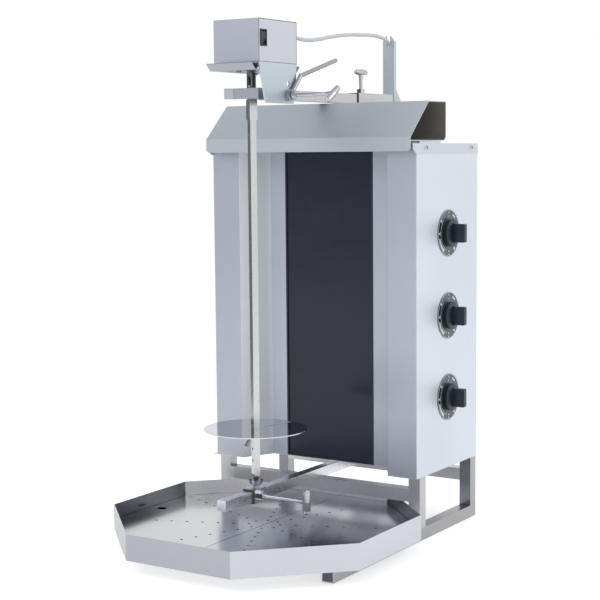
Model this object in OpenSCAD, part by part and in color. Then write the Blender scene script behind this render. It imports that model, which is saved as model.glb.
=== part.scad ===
/* [Body] */
// Width of the body over its side panels
body_w = 385; // [340:1:460]
// Depth of the body, front face to back panel
body_d = 213; // [205:1:260]
// Height of the body, bottom panel to top cover
body_h = 525; // [500:1:600]
// Height of the body's underside above the floor
body_z = 102; // [102:1:120]
// Thickness of the body's sheet metal
sheet_t = 1.2; // [1:0.1:1.6]
// Width of the flat front face of each wing
wing_w = 52; // [40:1:60]
// Depth from the front face back to the glass
recess_d = 54; // [45:1:56]
// Distance that each wing's inner face leans inwards
wing_splay = 27; // [15:1:35]
// Width of the lip on the left of the bottom panel
bottom_lip = 7; // [4:1:10]

/* [Glass and burners] */
// Width of the opening that the glass closes
glass_w = 168; // [150:1:172]
// Thickness of the glass
glass_t = 4; // [3:0.5:5]
// Width of the black frame round the glass
frame_w = 3; // [2:0.5:5]
// Height of one burner
burner_h = 122; // [100:1:128]
// Depth of one burner
burner_d = 40; // [32:1:42]

/* [Top cover and hood] */
// Height of the top cover's side flanges
flange_h = 16; // [14:1:20]
// Distance that the top cover reaches in front of the wings
cover_nose = 15; // [10:1:16]
// Distance of the hood's ends inside the body's sides
hood_inset = 0.5; // [0:0.5:10]
// Gap between the top cover and the hood
hood_gap = 4; // [3:0.5:6]
// Height of the hood's duct
hood_h = 62; // [50:1:62]
// Distance that the hood's front stands in front of the wings
hood_nose = 20; // [18:1:26]
// Depth of the hood's flat top
hood_top_d = 59; // [40:1:70]
// Distance from the wings' face back to the hood's back
hood_back = 100; // [85:1:112]
// Height of the hood's slanted front
hood_slant_h = 56; // [40:1:58]
// Distance that the hood's front lip hangs below its bottom plate
hood_lip = 16; // [8:1:24]
// Outer radius of the hood's lower rear bend
hood_bend_r = 10; // [6:1:14]

/* [Stand] */
// Width of the stand's square tubes
tube_w = 20; // [18:1:20]
// Wall of the stand's square tubes
tube_t = 1.5; // [1:0.1:2]
// Distance from the wings' face back to the front legs
leg_y = 10; // [6:1:16]
// Gap between the rear legs and the body's back
leg_rear_gap = 2; // [1:1:10]
// Distance that the bottom rails reach in front of the tray's centre
rail_front = 110; // [80:1:150]

/* [Grease tray] */
// Width of the octagonal tray across its flats
tray_w = 452; // [430:1:470]
// Height of the tray's walls
tray_h = 40; // [34:1:41]
// Thickness of the tray's sheet metal
tray_t = 1.2; // [1:0.1:1.6]
// Clearance between the tray's rear sides and the front legs
leg_clearance = 3.8; // [2:0.1:10]
// Height of the perforated inserts above the tray's floor
insert_h = 15; // [12:1:20]
// Gap between the inserts and the tray's walls
insert_gap = 1; // [0.5:0.5:2]
// Diameter of the drain holes
drain_d = 4.5; // [3:0.5:6]
// Distance between drain holes along a ray
drain_pitch = 25; // [20:1:30]
// Diameter of the finger holes
finger_d = 15; // [12:1:20]
// Distance from the tray's wall to a finger hole's centre
finger_inset = 22; // [18:1:30]
// How far the tray slides out
tray_travel = 240; // [100:10:300]

/* [Spit and disc] */
// Distance from the wings' face forward to the spit
spit_y = 165; // [160:1:180]
// Width of the square spit
spit_w = 10; // [8:1:12]
// Turn of the spit's flats about its own axis
spit_turn = -30; // [-45:1:45]
// Diameter of the disc
disc_d = 160; // [120:1:180]
// Height of the disc's top above the floor
disc_z = 193; // [185:1:260]
// Thickness of the disc
disc_t = 1.5; // [1:0.5:3]
// Direction of the disc's slot, seen from above
disc_slot_turn = 75; // [0:5:90]

/* [Arms] */
// Width of the square arm tubes
arm_w = 16; // [14:0.5:16]
// Wall of the arm tubes
arm_t = 1.5; // [1:0.1:2]
// Length of the lower arm in front of the wings
lower_arm_reach = 257; // [245:1:265]
// Wall of the outer sleeves on the arms
sleeve_t = 1.7; // [1.5:0.1:2.5]
// Sliding gap between an arm and its sleeve
slide_gap = 0.3; // [0.2:0.05:0.5]
// Length of the upper sleeve
sleeve_l = 120; // [100:1:122]
// Length of the slider on the lower arm
slider_l = 30; // [24:1:36]
// Width of the strip that retains the spit
hook_h = 16; // [12:1:16]
// Thickness of the strip that retains the spit
hook_t = 2; // [1.5:0.5:3]

/* [Clamp screws] */
// Diameter of a clamp screw's shank
shank_d = 6; // [5:0.5:8]
// Length of a clamp screw's cross bar
bar_l = 40; // [30:1:46]
// Diameter of a clamp screw's cross bar
bar_d = 11; // [9:0.5:13]
// Running gap round a shank
run_gap = 0.1; // [0.05:0.01:0.1]

/* [Motor head] */
// Width of the motor housing
head_w = 81; // [76:1:90]
// Depth of the motor housing
head_d = 103; // [98:1:110]
// Height of the motor housing
head_h = 63; // [60:1:68]
// Thickness of the motor housing's sheet metal
head_t = 1.5; // [1:0.1:2]
// Thickness of the head's side plates
plate_t = 2; // [1.5:0.5:3]
// Height of the side plates
plate_h = 60; // [58:1:62]
// Distance from the spit back to the tilt pivot
pivot_back = 41; // [40:1:45]
// Diameter of the lever's rod
lever_d = 6.5; // [5:0.5:8]
// Width of the rocker switch
rocker_w = 14; // [12:1:16]
// Height of the rocker switch
rocker_h = 23; // [20:1:26]
// Outer diameter of the drive socket
socket_d = 14; // [13:0.5:15]
// Bore of the drive socket
socket_bore = 10.5; // [10:0.5:11]

/* [Knobs] */
// Diameter of a knob's skirt
knob_d = 45; // [38:1:52]
// Thickness of a knob's skirt
skirt_h = 8; // [6:1:10]
// Distance that the grip stands out from the panel
grip_reach = 31; // [24:1:32]
// Diameter of the dial ring behind a knob
dial_d = 75.5; // [60:0.5:90]
// Distance between knobs
knob_pitch = 133; // [126:1:145]
// Height of the lowest knob above the floor
knob_z = 218; // [190:1:240]
// Distance from the wings' face back to the knobs
knob_y = 108; // [95:1:112]
// Diameter of a valve stem
stem_d = 8; // [6:0.5:9]

/* [Rear post] */
// Width of the post
post_w = 22; // [20:1:30]
// Height of the post's tip above the floor
post_top = 815; // [790:1:840]
// Distance from the wings' face back to the post
post_y = 258; // [256:1:262]
// Thickness of the post's sheet metal
post_t = 2; // [1.5:0.5:3]
// Depth of the post's flanges at the top
post_flange = 8; // [8:1:12]
// Width of the housing behind the body
housing_w = 170; // [120:1:200]
// Depth of the housing behind the body
housing_d = 78; // [78:1:100]

/* [Cable] */
// Diameter of the motor's cable
cable_d = 6; // [5:0.5:6]

/* [Hidden] */
$fn = 48;

// Colours
steel = [0.72, 0.74, 0.77];
dark_steel = [0.6, 0.62, 0.64];
pale_steel = [0.8, 0.83, 0.86];
black = [0.1, 0.1, 0.11];
brass = [0.75, 0.62, 0.33];

// Small gaps between neighbours
seat = 0.3;
eps = 0.01;

// Body levels and half widths
half_w = body_w / 2;
panel_x = half_w - sheet_t;
body_top = body_z + body_h;
inside_z = body_z + sheet_t;
inside_h = body_h - 2 * sheet_t;
wing_in_x = half_w - wing_w;
recess_x = wing_in_x - wing_splay;
glass_x = glass_w / 2;

// Rear housing, tray and the part's centre
tray_y = tray_w / sqrt(2) + leg_clearance * sqrt(2) - (half_w - tube_w) - leg_y;
rail_reach = tray_y + rail_front;
housing_back = body_d + housing_d;
screw_head_h = 2.2;
body_y = (tray_y + tray_w / 2 - housing_back - screw_head_h) / 2;

// Hood width and levels
hood_w = body_w - 2 * hood_inset;
hood_z = body_top + hood_gap;
hood_top = hood_z + hood_h;
hood_slant_y = hood_back - hood_top_d;
hood_nose_z = hood_top - hood_slant_h;

// Stand levels
rail_top = tube_w;
tray_z = rail_top + seat;
rim_z = tray_z + tray_h;
crossbar_z = body_z - arm_w - 4 - tube_w;
arm_z = crossbar_z + tube_w;
leg_rear_y = body_d - leg_rear_gap - tube_w;

// Tray and its inserts
tray_in = tray_w / 2 - tray_t;
insert_z = tray_z + tray_t + seat;
insert_top = insert_z + insert_h;
insert_r = tray_in - insert_gap;
seam_gap = 1;
side_drains = floor((tray_in / cos(22.5) - 10) / drain_pitch);
front_drains = side_drains - 3;

// Upper arm, sleeve and head levels
sleeve_w = arm_w + 2 * (slide_gap + sleeve_t);
sleeve_z = hood_top;
upper_arm_z = sleeve_z + sleeve_t + slide_gap;
sleeve_y = post_y - sleeve_l;
arm_front = spit_y - 15;
arm_rear = sleeve_y + sleeve_l - 22;
pivot_y = -spit_y + pivot_back;
pivot_z = upper_arm_z + 6;
plate_z = upper_arm_z - 7;
head_z = plate_z + plate_h;
head_front = -spit_y - 39;
head_rear = head_front + head_d;
head_x = head_w / 2;
shield_z = head_z - 12.5;
shield_lip = 10;
socket_z = upper_arm_z + hook_h;
cross_tube_d = 12;
shield_screw_x = 28;
shield_screw_d = 4;
function shield_screw_y(x) = x == 0 ? head_front + 6 : head_rear - 12;

// Lower slider and its cup
slider_w = arm_w + 2 * (slide_gap + 2.7);
slider_z = arm_z - slide_gap - 2.7;
slider_y = spit_y + 5;
slider_top = slider_z + slider_w;
disc_hub_d = 17;
disc_hub_h = 4;
disc_screw_d = 4;
cup_d = 23.5;
cup_h = 9;
cup_neck = 2.5;
cup_z = slider_top;
cup_top = cup_z + cup_neck + cup_h;
cup_floor = 1.2;
tip_z = cup_z + cup_neck + cup_floor + seat;
spit_tip_h = 17;
shoulder_z = socket_z - 2;
spit_pin_h = 8;
pin_d = 3;

// Lever, from its pivot to its bend and tip
lever_bend_back = 27;
lever_bend_rise = 30;
lever_tip_back = 131;
lever_tip_rise = 58;
lever_eye_d = 17;

// Post and valves
post_foot = 14;
post_foot_d = 30;
post_brace_h = 30;
post_brace_step = 3;
post_chamfer_h = 9;
post_chamfer_w = 7;
valve_half = 14;
valve_wall_gap = 5;

// Clamp screws
sleeve_nut_h = 7;
nut_w = 15;
sleeve_screw_y = 162;
sleeve_screw_l = 37;
side_screw_reach = 95;
pivot_screw_reach = 118;
head_boss = 7;
slider_bar_d = 12.6;
slider_bar_l = 40;

// Knob row
knob_heights = [knob_z, knob_z + knob_pitch, knob_z + 2 * knob_pitch];
valve_in = 34;
stem_in = 28;
stem_out = 14;
manifold_r = 8;
manifold_x = half_w - 27;
manifold_y = knob_y + 42;
inlet_z = 140;
inlet_reach = 32;
inlet_r = 10.5;

// Cable route in the plane x = 0, as points in front of or behind the wings' face
cable_exit_z = 795;
cable_fall_y = 264.5;
cable_route = [
  [-105, 795], [-92, 795], [-80, 795], [-66, 795], [-50, 794], [-35, 793], [-20, 792],
  [-5, 792], [10, 793], [25, 795], [40, 797], [55, 800],
  [70, 802], [90, 805], [110, 807], [130, 809], [150, 810], [170, 811], [190, 812],
  [210, 812], [228, 811], [242, 809], [251, 806.5], [257, 803.5], [261, 800], [263.5, 795], [264.5, 789],
  [264.5, 778], [264.5, 764], [264.5, 748], [264.5, 732], [264.5, 716], [264.5, 700], [264.5, 684]
];
notch_depth = 17;
notch_z = post_top - notch_depth;

// Everything below is placed from the wings' front face, which lies at y = 0 here
module at_body() {
  translate([0, body_y, 0]) children();
}

// Box between two corners
module box(low, high) {
  translate(low) cube(high - low);
}

// Profile drawn as (y, z), centred on x
module extrude_x(w) {
  translate([-w / 2, 0, 0]) rotate([90, 0, 90]) linear_extrude(w) children();
}

// Left-hand normal of the line from a to b
function normal(a, b) = let (d = (b - a) / norm(b - a)) [-d[1], d[0]];

// Point i of a bent path, moved sideways by t with mitred corners
function moved(p, i, t) =
  i == 0 ? p[0] + t * normal(p[0], p[1])
  : i == len(p) - 1 ? p[i] + t * normal(p[i - 1], p[i])
  : let (m = normal(p[i - 1], p[i]), n = normal(p[i], p[i + 1])) p[i] + t * (m + n) / (1 + m * n);

// Outline of a sheet of thickness t bent along a path
function bent_sheet(p, t) = concat(p, [for (i = [len(p) - 1:-1:0]) moved(p, i, t)]);

// Points on an arc
function arc(c, r, from, to, steps = 6) =
  [for (i = [0:steps]) c + r * [cos(from + (to - from) * i / steps), sin(from + (to - from) * i / steps)]];

// Square tube along z, standing on z = 0, with one corner at the origin
module tube(w, t, l) {
  difference() {
    cube([w, w, l]);
    translate([t, t, -eps]) cube([w - 2 * t, w - 2 * t, l + 2 * eps]);
  }
}

// Square tube along y
module tube_y(w, t, l) {
  translate([0, l, 0]) rotate([90, 0, 0]) tube(w, t, l);
}

// Square tube along x
module tube_x(w, t, l) {
  translate([0, w, 0]) rotate([90, 0, 90]) translate([-w, 0, 0]) tube(w, t, l);
}

// Plate in the x-y plane with n sides, apothem r
module polygon_plate(n, r, h) {
  linear_extrude(h) rotate(180 / n) circle(r = r / cos(180 / n), $fn = n);
}

// Stand

module leg(side, y) {
  color(dark_steel) at_body()
    translate([side > 0 ? half_w - tube_w : -half_w, y, rail_top])
      tube(tube_w, tube_t, body_z - rail_top);
}

module leg_front_left() { leg(-1, leg_y); }
module leg_front_right() { leg(1, leg_y); }
module leg_rear_left() { leg(-1, leg_rear_y); }
module leg_rear_right() { leg(1, leg_rear_y); }

module rail(side) {
  color(dark_steel) at_body()
    translate([side > 0 ? half_w - tube_w : -half_w, -rail_reach, 0])
      tube_y(tube_w, tube_t, rail_reach + leg_rear_y + tube_w);
}

module rail_left() { rail(-1); }
module rail_right() { rail(1); }

module crossbar(y) {
  color(dark_steel) at_body()
    translate([-half_w + tube_w, y, crossbar_z])
      tube_x(tube_w, tube_t, body_w - 2 * tube_w);
}

module front_crossbar() { crossbar(leg_y); }
module rear_crossbar() { crossbar(leg_rear_y); }

module tube_plugs() {
  plug_w = tube_w - 2 * tube_t;
  color(black) at_body()
    for (side = [-1, 1])
      for (y = [-rail_reach, leg_rear_y + tube_w])
        translate([side * (half_w - tube_w / 2), y, tube_w / 2])
          box([-plug_w / 2, y < 0 ? 0 : -8, -plug_w / 2], [plug_w / 2, y < 0 ? 8 : 0, plug_w / 2]);
}

// Body shell

module left_side_panel() {
  color(steel) at_body()
    box([-half_w, 0, inside_z], [-panel_x, body_d, inside_z + inside_h]);
}

module right_side_panel() {
  color(pale_steel) at_body()
    difference() {
      box([panel_x, 0, inside_z], [half_w, body_d, inside_z + inside_h]);
      for (z = knob_heights)
        translate([panel_x - 1, knob_y, z]) rotate([0, 90, 0]) cylinder(d = stem_d + 2, h = sheet_t + 2);
    }
}

module back_panel() {
  color(steel) at_body()
    difference() {
      box([-panel_x, body_d - sheet_t, inside_z], [panel_x, body_d, inside_z + inside_h]);
      translate([manifold_x, body_d + 1, inlet_z]) rotate([90, 0, 0])
        cylinder(r = inlet_r + 1, h = sheet_t + 2);
    }
}

module top_cover() {
  top_x = half_w + sheet_t;
  pad_d = 14;
  flange = concat(
    [[-cover_nose, body_top], [body_d, body_top], [body_d, body_top - flange_h], [1, body_top - flange_h]],
    arc([1, body_top - 1], flange_h - 1, 270, 180)
  );
  color(steel) at_body() {
    for (x = [-top_x, half_w])
      translate([x + sheet_t / 2, 0, 0]) extrude_x(sheet_t) polygon(flange);
    box([-top_x + eps, -cover_nose, body_top - sheet_t], [top_x - eps, body_d, body_top]);
    for (x = [-hood_w / 2 + 110, hood_w / 2 - 110])
      for (y = [18, hood_back - 18])
        translate([x, y, body_top - eps]) cylinder(d1 = pad_d + 4, d2 = pad_d, h = hood_gap + eps);
  }
}

module bottom_panel() {
  color(dark_steel) at_body()
    translate([0, 0, body_z]) linear_extrude(sheet_t) polygon([
      [-half_w - bottom_lip, 0], [-wing_in_x, 0], [-recess_x, recess_d], [recess_x, recess_d],
      [wing_in_x, 0], [half_w, 0], [half_w, body_d], [-half_w - bottom_lip, body_d]
    ]);
}

module wing(side) {
  path = [[-panel_x, 0], [-wing_in_x, 0], [-recess_x, recess_d], [-glass_x - seat, recess_d]];
  color(steel) at_body()
    mirror([side > 0 ? 1 : 0, 0, 0])
      translate([0, 0, inside_z]) linear_extrude(inside_h) polygon(bent_sheet(path, sheet_t));
}

module left_wing() { wing(-1); }
module right_wing() { wing(1); }

module glass_frame() {
  outer_x = glass_x;
  inner_x = glass_x - frame_w;
  low = inside_z;
  high = inside_z + inside_h;
  front = recess_d - 0.5;
  back_lip = 8;
  color(black) at_body() {
    difference() {
      box([-outer_x, front, low], [outer_x, front + 8, high]);
      box([-inner_x, front - 1, low + frame_w], [inner_x, front + 10, high - frame_w]);
    }
    difference() {
      box([-outer_x - back_lip, recess_d + sheet_t, low], [outer_x + back_lip, recess_d + 2 * sheet_t, high]);
      box([-outer_x + eps, recess_d, low - 1], [outer_x - eps, recess_d + 4, high + 1]);
    }
    difference() {
      box([-inner_x - eps, front + 6, low + 1], [inner_x + eps, front + 8, high - 1]);
      box([-inner_x + 4, front, low + frame_w + 4], [inner_x - 4, front + 10, high - frame_w - 4]);
    }
  }
}

module glass_panel() {
  x = glass_x - frame_w - 0.2;
  color([0.22, 0.24, 0.28]) at_body()
    box([-x, recess_d + 5.4 - glass_t, inside_z + frame_w + 0.2],
        [x, recess_d + 5.4, inside_z + inside_h - frame_w - 0.2]);
}

module cover_screws() {
  color(dark_steel) at_body() {
    for (side = [-1, 1])
      for (y = [30, body_d - 25])
        translate([side * (half_w + sheet_t), y, body_top - 7])
          rotate([0, side * 90, 0]) cylinder(d1 = 8, d2 = 6, h = screw_head_h);
    for (x = [-wing_in_x - 10, -recess_x - 10, recess_x + 10, wing_in_x + 10])
      translate([x, abs(x) > wing_in_x ? 12 : recess_d + 10, body_z])
        rotate([180, 0, 0]) cylinder(d1 = 8, d2 = 6, h = screw_head_h);
    for (x = [-housing_w / 2 + 12, housing_w / 2 - 12])
      for (z = [inside_z + 40, body_top - 60])
        translate([x, housing_back, z]) rotate([-90, 0, 0]) cylinder(d1 = 8, d2 = 6, h = screw_head_h);
  }
}

// Hood

module hood() {
  corner_r = 7;
  path = concat(
    [[-hood_nose, hood_z - hood_lip], [-hood_nose, hood_nose_z], [hood_slant_y, hood_top], [hood_back, hood_top]],
    arc([hood_back - hood_bend_r, hood_z + hood_bend_r], hood_bend_r, 0, -90),
    [[-hood_nose + sheet_t + seat, hood_z]]
  );
  color(steel) at_body()
    difference() {
      extrude_x(hood_w) polygon(bent_sheet(path, -sheet_t));
      for (side = [-1, 1])
        translate([side * hood_w / 2, -hood_nose - 1, hood_z - hood_lip])
          difference() {
            translate([-corner_r, 0, -1]) cube([2 * corner_r, sheet_t + 2, corner_r + 1]);
            translate([-side * corner_r, -1, corner_r]) rotate([-90, 0, 0])
              cylinder(r = corner_r, h = sheet_t + 4);
            translate([side > 0 ? -2 * corner_r : corner_r, -1, -2]) cube([corner_r, sheet_t + 4, corner_r + 3]);
          }
    }
}

// Gas side

module burner_rack() {
  x = glass_x + 12;
  color(dark_steel) at_body()
    for (side = [-1, 1])
      mirror([side > 0 ? 0 : 1, 0, 0])
        difference() {
          union() {
            box([x, recess_d + 10, inside_z], [x + 2, body_d - sheet_t, inside_z + inside_h]);
          }
          for (z = knob_heights)
            translate([x - 1, recess_d + 45, z]) rotate([0, 90, 0]) cylinder(d = 14, h = 4);
          for (z = knob_heights)
            box([x - 1, body_d - 90, z - 40], [x + 3, body_d - 20, z + 40]);
        }
}

module burner(z) {
  x = glass_x + 12 - seat;
  front = recess_d + 12;
  color([0.75, 0.7, 0.62]) at_body() {
    difference() {
      box([-x, front, z - burner_h / 2], [x, front + burner_d, z + burner_h / 2]);
      box([-x + 3, front - 1, z - burner_h / 2 + 3], [x - 3, front + 4, z + burner_h / 2 - 3]);
      for (i = [-12:12])
        box([i * 7 - 1.5, front, z - burner_h / 2 + 8], [i * 7 + 1.5, front + 7, z + burner_h / 2 - 8]);
    }
    translate([x - eps, recess_d + 45, z]) rotate([0, 90, 0])
      cylinder(d = 12, h = half_w - valve_wall_gap - valve_in - seat - x);
  }
}

module burner_lower() { burner(knob_heights[0]); }
module burner_middle() { burner(knob_heights[1]); }
module burner_upper() { burner(knob_heights[2]); }

module gas_manifold() {
  color(dark_steel) at_body() {
    translate([manifold_x, manifold_y, inlet_z]) cylinder(r = manifold_r, h = knob_heights[2] + 30 - inlet_z);
    translate([manifold_x, manifold_y, inlet_z]) sphere(r = manifold_r);
    translate([manifold_x, manifold_y, inlet_z]) rotate([-90, 0, 0])
      cylinder(r = manifold_r, h = body_d - manifold_y);
    translate([manifold_x, body_d - 8, inlet_z]) rotate([-90, 0, 0])
      cylinder(r = inlet_r, h = 8 + inlet_reach);
  }
}

module gas_valves() {
  valve_x = half_w - valve_wall_gap;
  color(brass) at_body()
    for (z = knob_heights)
      difference() {
        box([valve_x - valve_in, knob_y - valve_half, z - valve_half], [valve_x, manifold_y, z + valve_half]);
        translate([manifold_x, manifold_y, z - valve_half - 1]) cylinder(r = manifold_r, h = 2 * valve_half + 2);
        translate([half_w - stem_in - 2, knob_y, z]) rotate([0, 90, 0])
          cylinder(d = stem_d + 2 * run_gap, h = stem_in + 2);
      }
}

module knob_bezels() {
  color([0.45, 0.47, 0.5]) at_body()
    for (z = knob_heights)
      translate([half_w, knob_y, z]) rotate([0, 90, 0])
        difference() {
          cylinder(d = dial_d, h = 1);
          translate([0, 0, -1]) cylinder(d = stem_d + 4, h = 3);
        }
}

module knob(z) {
  start = 1.8;
  grip_w = 8;
  grip_half = knob_d / 2 - 7.7;
  color(black) at_body()
    translate([half_w, knob_y, z]) rotate([0, 90, 0]) {
      difference() {
        union() {
          rotate_extrude() polygon(concat(
            [[0, start], [knob_d / 2 - 1, start]],
            arc([knob_d / 2 - 2, start + skirt_h - 2], 2, 0, 90, 3),
            [[knob_d / 2 - 7, start + skirt_h + 1], [0, start + skirt_h + 1]]
          ));
          rotate([90, 0, 0]) translate([0, 0, -grip_w / 2]) linear_extrude(grip_w) polygon([
            [-grip_half - 2, start + skirt_h - 1], [grip_half + 2, start + skirt_h - 1],
            [grip_half, start + skirt_h + 4], [grip_half, grip_reach - 1.5], [grip_half - 1.5, grip_reach],
            [1.5 - grip_half, grip_reach], [-grip_half, grip_reach - 1.5], [-grip_half, start + skirt_h + 4]
          ]);
        }
        translate([0, 0, start - 1]) cylinder(d = stem_d + 0.2, h = 15);
      }
      translate([0, 0, -stem_in]) cylinder(d = stem_d, h = stem_in + stem_out);
    }
}

module knob_lower() { knob(knob_heights[0]); }
module knob_middle() { knob(knob_heights[1]); }
module knob_upper() { knob(knob_heights[2]); }

// Rear housing, post and arms

module rear_housing() {
  x = housing_w / 2;
  low = inside_z + 8;
  color(steel) at_body()
    difference() {
      box([-x, body_d, low], [x, housing_back, sleeve_z]);
      box([-x + sheet_t, body_d + sheet_t, low + sheet_t], [x - sheet_t, housing_back - sheet_t, sleeve_z - sheet_t]);
      translate([0, cable_fall_y, sleeve_z - 5]) cylinder(d = cable_d + 2, h = 10);
    }
}

module rear_post() {
  x = post_w / 2;
  edge_z = post_top - post_chamfer_h;
  flange = [
    [post_y, sleeve_z], [post_y + post_foot_d, sleeve_z], [post_y + post_foot_d, sleeve_z + post_brace_step],
    [post_y + post_flange, sleeve_z + post_brace_h], [post_y + post_flange, edge_z], [post_y, edge_z]
  ];
  color(steel) at_body() {
    difference() {
      translate([0, post_y + post_t, 0]) rotate([90, 0, 0]) linear_extrude(post_t) polygon([
        [-x, sleeve_z], [x, sleeve_z], [x, edge_z], [x - post_chamfer_w, post_top],
        [-x + post_chamfer_w, post_top], [-x, edge_z]
      ]);
      cable_notch();
    }
    for (side = [-1, 1])
      translate([side * (x - post_t / 2), 0, 0]) extrude_x(post_t) polygon(flange);
    difference() {
      box([-x - post_foot, post_y, sleeve_z], [x + post_foot, post_y + post_foot_d, sleeve_z + post_t]);
      translate([0, cable_fall_y, sleeve_z - 1]) cylinder(d = cable_d + 2, h = post_t + 2);
    }
  }
}

// Notch that carries the cable, open at the top of the post
module cable_notch() {
  notch_w = cable_d + 2 * seat;
  translate([0, post_y - 1, notch_z + notch_w / 2]) rotate([-90, 0, 0]) cylinder(d = notch_w, h = post_t + 2);
  box([-notch_w / 2, post_y - 1, notch_z + notch_w / 2], [notch_w / 2, post_y + post_t + 1, post_top + 1]);
}

module lower_arm() {
  back = leg_rear_y + tube_w;
  color(steel) at_body()
    difference() {
      box([-arm_w / 2, -lower_arm_reach, arm_z], [arm_w / 2, back, arm_z + arm_w]);
      box([-arm_w / 2 + arm_t, -lower_arm_reach + arm_t, arm_z + arm_t],
          [arm_w / 2 - arm_t, back + 1, arm_z + arm_w - arm_t]);
    }
}

module upper_sleeve() {
  color(steel) at_body()
    difference() {
      union() {
        translate([-sleeve_w / 2, sleeve_y, sleeve_z]) tube_y(sleeve_w, sleeve_t, sleeve_l);
        translate([0, sleeve_screw_y, sleeve_z + sleeve_w - eps]) cylinder(d = nut_w, h = sleeve_nut_h + eps, $fn = 6);
      }
      translate([0, sleeve_screw_y, sleeve_z + sleeve_w - sleeve_t - 1])
        cylinder(d = shank_d + 2 * run_gap, h = sleeve_nut_h + sleeve_t + 2);
    }
}

module arm_tube() {
  color(steel) at_body()
    difference() {
      union() {
        difference() {
          box([-arm_w / 2, -arm_front, upper_arm_z], [arm_w / 2, arm_rear, upper_arm_z + arm_w]);
          box([-arm_w / 2 + arm_t, -arm_front + 2, upper_arm_z + arm_t],
              [arm_w / 2 - arm_t, arm_rear + 1, upper_arm_z + arm_w - arm_t]);
        }
        translate([-arm_w / 2, pivot_y, pivot_z]) rotate([0, 90, 0])
          cylinder(d = cross_tube_d, h = arm_w);
      }
      translate([-head_x, pivot_y, pivot_z]) rotate([0, 90, 0])
        cylinder(d = shank_d + 2 * run_gap, h = head_w);
    }
}

module spit_hook() {
  leg_x = 22.5;
  front = -spit_y - 15;
  side_x = arm_w / 2;
  path = [
    [side_x, pivot_y - 9], [side_x, -arm_front + 3], [leg_x - hook_t, -arm_front - 7], [leg_x - hook_t, front + hook_t],
    [-24, front + hook_t], [-34, front - 8]
  ];
  color(pale_steel) at_body()
    translate([0, 0, upper_arm_z]) linear_extrude(hook_h) polygon(bent_sheet(path, hook_t));
}

// Cross bar of diameter d and length l along y, with rounded ends of radius end_r
module cross_bar(d, l, end_r) {
  side_l = l / 2 - end_r;
  rotate([90, 0, 0]) rotate(20) rotate_extrude() polygon(concat(
    [[0, -l / 2]],
    arc([0, -side_l], end_r, -60, 0, 2),
    [[d / 2, 0]],
    arc([0, side_l], end_r, 0, 60, 2),
    [[0, l / 2]]
  ));
}

// Clamp screw along z from its tip at z = 0 to the centre of its cross bar
module clamp_screw(reach, bar_turn, d = bar_d, l = bar_l, end_share = 0.4) {
  cylinder(d = shank_d, h = reach);
  translate([0, 0, reach - d / 2 - head_boss]) cylinder(d1 = shank_d + 0.6, d2 = d - 2, h = head_boss + d / 2);
  translate([0, 0, reach]) rotate([0, 0, bar_turn]) cross_bar(d, l, d * end_share);
}

module sleeve_clamp_screw() {
  color(pale_steel) at_body()
    translate([0, sleeve_screw_y, upper_arm_z + arm_w + 0.2]) clamp_screw(sleeve_screw_l, 3);
}

module head_clamp_screw() {
  start = -arm_w / 2 - 5;
  color(pale_steel) at_body()
    translate([start, pivot_y, pivot_z]) rotate([0, 90, 0]) {
      clamp_screw(pivot_screw_reach - start, 33);
      translate([0, 0, head_x - start + 1 + lever_d]) cylinder(d = 13, h = 7);
      cylinder(d = 13, h = 4.5);
    }
}

module slider_clamp_screw() {
  start = arm_w / 2 + 0.2;
  color(pale_steel) at_body()
    translate([start, -slider_y, arm_z + arm_w / 2]) rotate([0, 90, 0])
      clamp_screw(side_screw_reach - start, 90, slider_bar_d, slider_bar_l, 0.48);
}

// Lower slider

module slider_block() {
  nut_x = slider_w / 2;
  color(steel) at_body()
    difference() {
      union() {
        translate([-slider_w / 2, -slider_y - slider_l / 2, slider_z])
          tube_y(slider_w, (slider_w - arm_w) / 2 - slide_gap, slider_l);
        translate([nut_x - eps, -slider_y, arm_z + arm_w / 2]) rotate([0, 90, 0])
          cylinder(d = nut_w, h = 8, $fn = 6);
      }
      translate([nut_x - 5, -slider_y, arm_z + arm_w / 2]) rotate([0, 90, 0])
        cylinder(d = shank_d + 2 * run_gap, h = 20);
    }
}

module bearing_cup() {
  color(pale_steel) at_body()
    translate([0, -spit_y, cup_z]) rotate_extrude() polygon([
      [0, 0], [4.5, 0], [4.5, cup_neck], [cup_d / 2 - 3, cup_neck + 2.5], [cup_d / 2, cup_neck + cup_h],
      [cup_d / 2 - 1.2, cup_neck + cup_h], [cup_d / 2 - 4.5, cup_neck + 3.6], [2.5, cup_neck + 2.6], [0, cup_neck + cup_floor]
    ]);
}

// Spit and disc

module at_spit(z) {
  at_body() translate([0, -spit_y, z]) children();
}

module spit_bar() {
  r = spit_w / sqrt(2);
  hole_d = 4;
  color(steel) {
    at_spit(0) rotate(spit_turn)
      difference() {
        union() {
          translate([-spit_w / 2, -spit_w / 2, tip_z + spit_tip_h])
            cube([spit_w, spit_w, shoulder_z - tip_z - spit_tip_h]);
          translate([0, 0, tip_z]) rotate(45) cylinder(r1 = 0.4, r2 = r, h = spit_tip_h + eps, $fn = 4);
        }
        for (z = [tip_z + 38, tip_z + 56, shoulder_z - 59, shoulder_z - 43])
          translate([0, spit_w, z]) rotate([90, 0, 0]) cylinder(d = hole_d, h = 2 * spit_w);
      }
    at_spit(shoulder_z - eps) cylinder(d1 = 6, d2 = 3, h = spit_pin_h + 2);
    at_spit(socket_z + 3) rotate([90, 0, 0]) translate([0, 0, -socket_d / 2 + 0.5])
      cylinder(d = pin_d, h = socket_d - 1);
  }
}

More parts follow.
